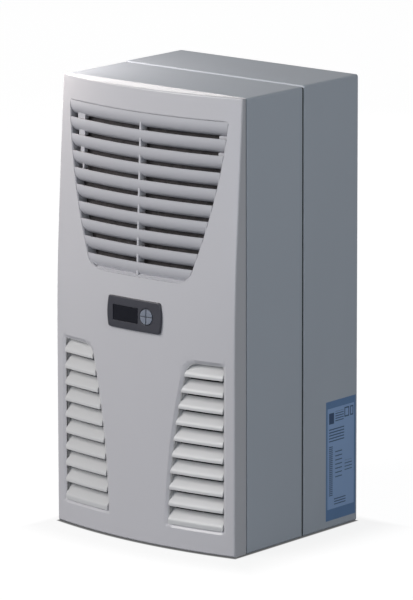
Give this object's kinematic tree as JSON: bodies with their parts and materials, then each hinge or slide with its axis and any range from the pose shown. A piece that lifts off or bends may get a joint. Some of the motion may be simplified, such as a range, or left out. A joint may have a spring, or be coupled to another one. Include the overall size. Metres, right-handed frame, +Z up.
{
  "type": "wall-mounted cabinet cooling unit",
  "caption": "Wall-mounted refrigeration unit that cools and dries cabinet air, with a louvred pull-off cover, key-pad controller, fans, coils, compressor and drain.",
  "frame": {"origin": "bottom centre of the whole unit's bounding box", "axes": "+Z up along the height, +Y to the wall face, -Y to the louvred cover, +X to the keys' side"},
  "size_m": [0.28, 0.25, 0.55],
  "materials": {
    "cover_plastic": "fine satin moulding",
    "grille_plastic": "fine satin moulding",
    "louvre_plastic": "fine satin moulding",
    "painted_sheet": "light grey powder coat, semi-gloss",
    "galvanised_sheet": "galvanised",
    "zinc_hardware": "zinc plated",
    "chrome_wire": "bright wire",
    "nut_brass": "yellow passivated",
    "gasket_rubber": "closed-cell foam rubber",
    "rubber_black": "moulded rubber",
    "label_blue": "printed film, left blank",
    "dark_plastic": "satin moulding",
    "window_black": "clear over black",
    "key_grey": "silicone, matte",
    "filter_foam": "open-cell foam mat",
    "black_paint": "gloss black enamel",
    "fan_plastic": "satin moulding",
    "fan_metal": "black coated",
    "fin_aluminium": "mill finish",
    "copper": "bare copper",
    "tray_plastic": "moulded",
    "nozzle_plastic": "moulded",
    "can_aluminium": "drawn can",
    "terminal_green": "moulded",
    "sensor_steel": "plain"
  },
  "bodies": {
    "housing": {"front_hood": "painted_sheet", "rear_housing": "painted_sheet", "seam_gasket": "gasket_rubber", "partition_wall": "galvanised_sheet", "insulation_foam": "gasket_rubber", "back_plate": "galvanised_sheet", "back_plate_screws": "zinc_hardware", "wall_gasket": "gasket_rubber", "fixing_nuts": "nut_brass", "rating_plate": "label_blue", "cover_sockets": "dark_plastic", "compressor_shell": "black_paint", "compressor_foot_plate": "black_paint", "compressor_grommets": "rubber_black", "compressor_studs": "zinc_hardware", "terminal_cover": "dark_plastic", "suction_accumulator": "black_paint", "accumulator_strap": "galvanised_sheet", "condenser_fins": "fin_aluminium", "condenser_tubes": "copper", "condenser_end_plates": "galvanised_sheet", "fan_shroud": "galvanised_sheet", "fan_bracket": "fan_metal", "finger_guard": "chrome_wire", "evaporator_fins": "fin_aluminium", "evaporator_tubes": "copper", "evaporator_end_plates": "galvanised_sheet", "evaporator_fan_frame": "dark_plastic", "inlet_guard": "chrome_wire", "condensate_tray": "tray_plastic", "drain_nozzle": "nozzle_plastic", "air_guide": "galvanised_sheet", "discharge_pipe": "copper", "liquid_pipe": "copper", "filter_drier": "copper", "capillary_tube": "copper", "suction_pipe": "copper", "line_grommets": "rubber_black", "control_box": "dark_plastic", "control_box_lid": "dark_plastic", "run_capacitor": "can_aluminium", "line_filter": "can_aluminium", "terminal_block": "terminal_green", "air_sensor": "sensor_steel"},
    "cover": {"front_cover": "cover_plastic", "intake_grille": "grille_plastic", "outlet_louvre_left": "louvre_plastic", "outlet_louvre_right": "louvre_plastic", "filter_mat": "filter_foam", "filter_retainer": "dark_plastic", "controller_bezel": "dark_plastic", "display_window": "window_black", "display_module": "dark_plastic", "module_clamps": "dark_plastic"},
    "upper_left_key": {"key_upper_left": "key_grey"},
    "upper_right_key": {"key_upper_right": "key_grey"},
    "lower_left_key": {"key_lower_left": "key_grey"},
    "lower_right_key": {"key_lower_right": "key_grey"},
    "condenser_fan": {"condenser_impeller": "fan_plastic"},
    "evaporator_fan": {"evaporator_impeller": "fan_plastic"}
  },
  "joints": [
    {"name": "cover_pull", "type": "slide", "parent": "housing", "child": "cover", "axis": [0, -1, 0], "range_m": [0, 0.09]},
    {"name": "upper_left_press", "type": "slide", "parent": "cover", "child": "upper_left_key", "axis": [0, 0.9996, -0.0273], "range_m": [0, 0.0008], "stiffness_N_per_m": 300},
    {"name": "upper_right_press", "type": "slide", "parent": "cover", "child": "upper_right_key", "axis": [0, 0.9996, -0.0273], "range_m": [0, 0.0008], "stiffness_N_per_m": 300},
    {"name": "lower_left_press", "type": "slide", "parent": "cover", "child": "lower_left_key", "axis": [0, 0.9996, -0.0273], "range_m": [0, 0.0008], "stiffness_N_per_m": 300},
    {"name": "lower_right_press", "type": "slide", "parent": "cover", "child": "lower_right_key", "axis": [0, 0.9996, -0.0273], "range_m": [0, 0.0008], "stiffness_N_per_m": 300},
    {"name": "condenser_fan_spin", "type": "hinge", "parent": "housing", "child": "condenser_fan", "pos_m": [0, -0.045, 0.425], "axis": [0, 1, 0], "continuous": true},
    {"name": "evaporator_fan_spin", "type": "hinge", "parent": "housing", "child": "evaporator_fan", "pos_m": [0, 0.1, 0.434], "axis": [0, 1, 0], "continuous": true}
  ]
}
